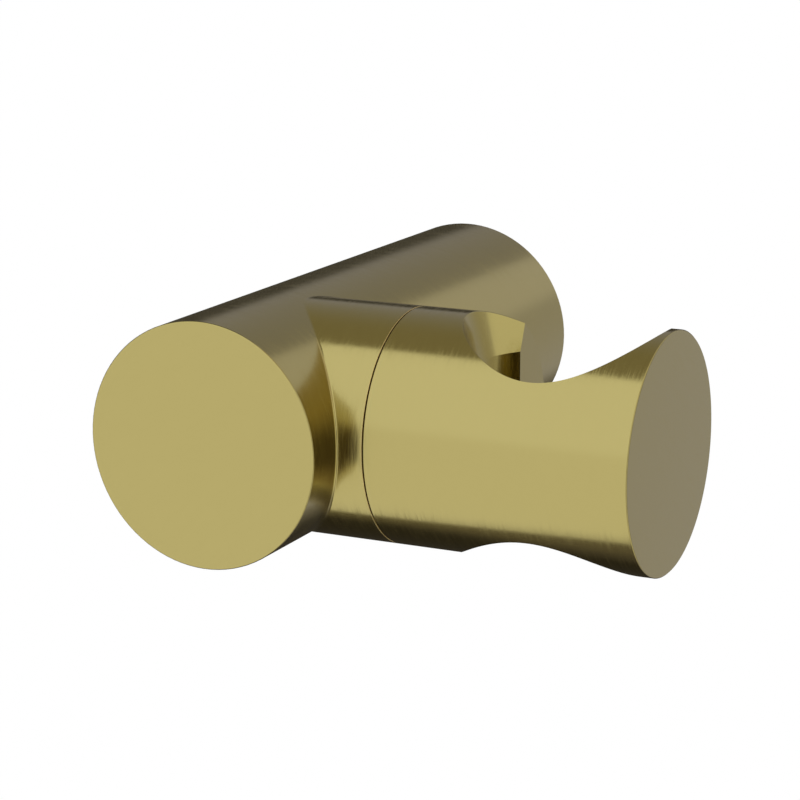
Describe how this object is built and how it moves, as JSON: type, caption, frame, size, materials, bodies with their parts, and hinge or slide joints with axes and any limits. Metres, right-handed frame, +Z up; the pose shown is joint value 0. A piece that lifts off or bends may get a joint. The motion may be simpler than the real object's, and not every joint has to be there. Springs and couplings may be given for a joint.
{
  "type": "hand shower holder",
  "caption": "Round bar that stands off a wall, with a side arm whose waisted, slotted cradle turns on the arm's axis to hold a hand shower.",
  "frame": {"origin": "centre of the bar's wall end, in the plane of the wall", "axes": "+Z up, along the bore that the hand shower drops into; +X along the side arm; the bar stands off the wall towards -Y"},
  "size_m": [0.0682, 0.079, 0.031],
  "materials": {
    "brushed_gold_brass": "fine brushed, greenish gold plating",
    "raw_brass": "turned",
    "stainless_screw": "bright stainless",
    "spring_steel": "spring steel",
    "black_rubber": "matt",
    "white_acetal": "moulded"
  },
  "bodies": {
    "bracket": {"body": "brushed_gold_brass", "wall_plug": "raw_brass", "wall_gasket": "black_rubber", "plug_o_ring": "black_rubber", "grub_screw": "stainless_screw", "pivot_screw": "stainless_screw", "disc_spring": "spring_steel", "friction_ring": "white_acetal"},
    "swivel_cradle": {"cradle": "brushed_gold_brass", "pivot_bush": "white_acetal", "thrust_washer": "white_acetal"}
  },
  "joints": [
    {"name": "cradle_swivel", "type": "hinge", "parent": "bracket", "child": "swivel_cradle", "pos_m": [0.0189, -0.058, 0], "axis": [1, 0, 0], "continuous": true}
  ]
}
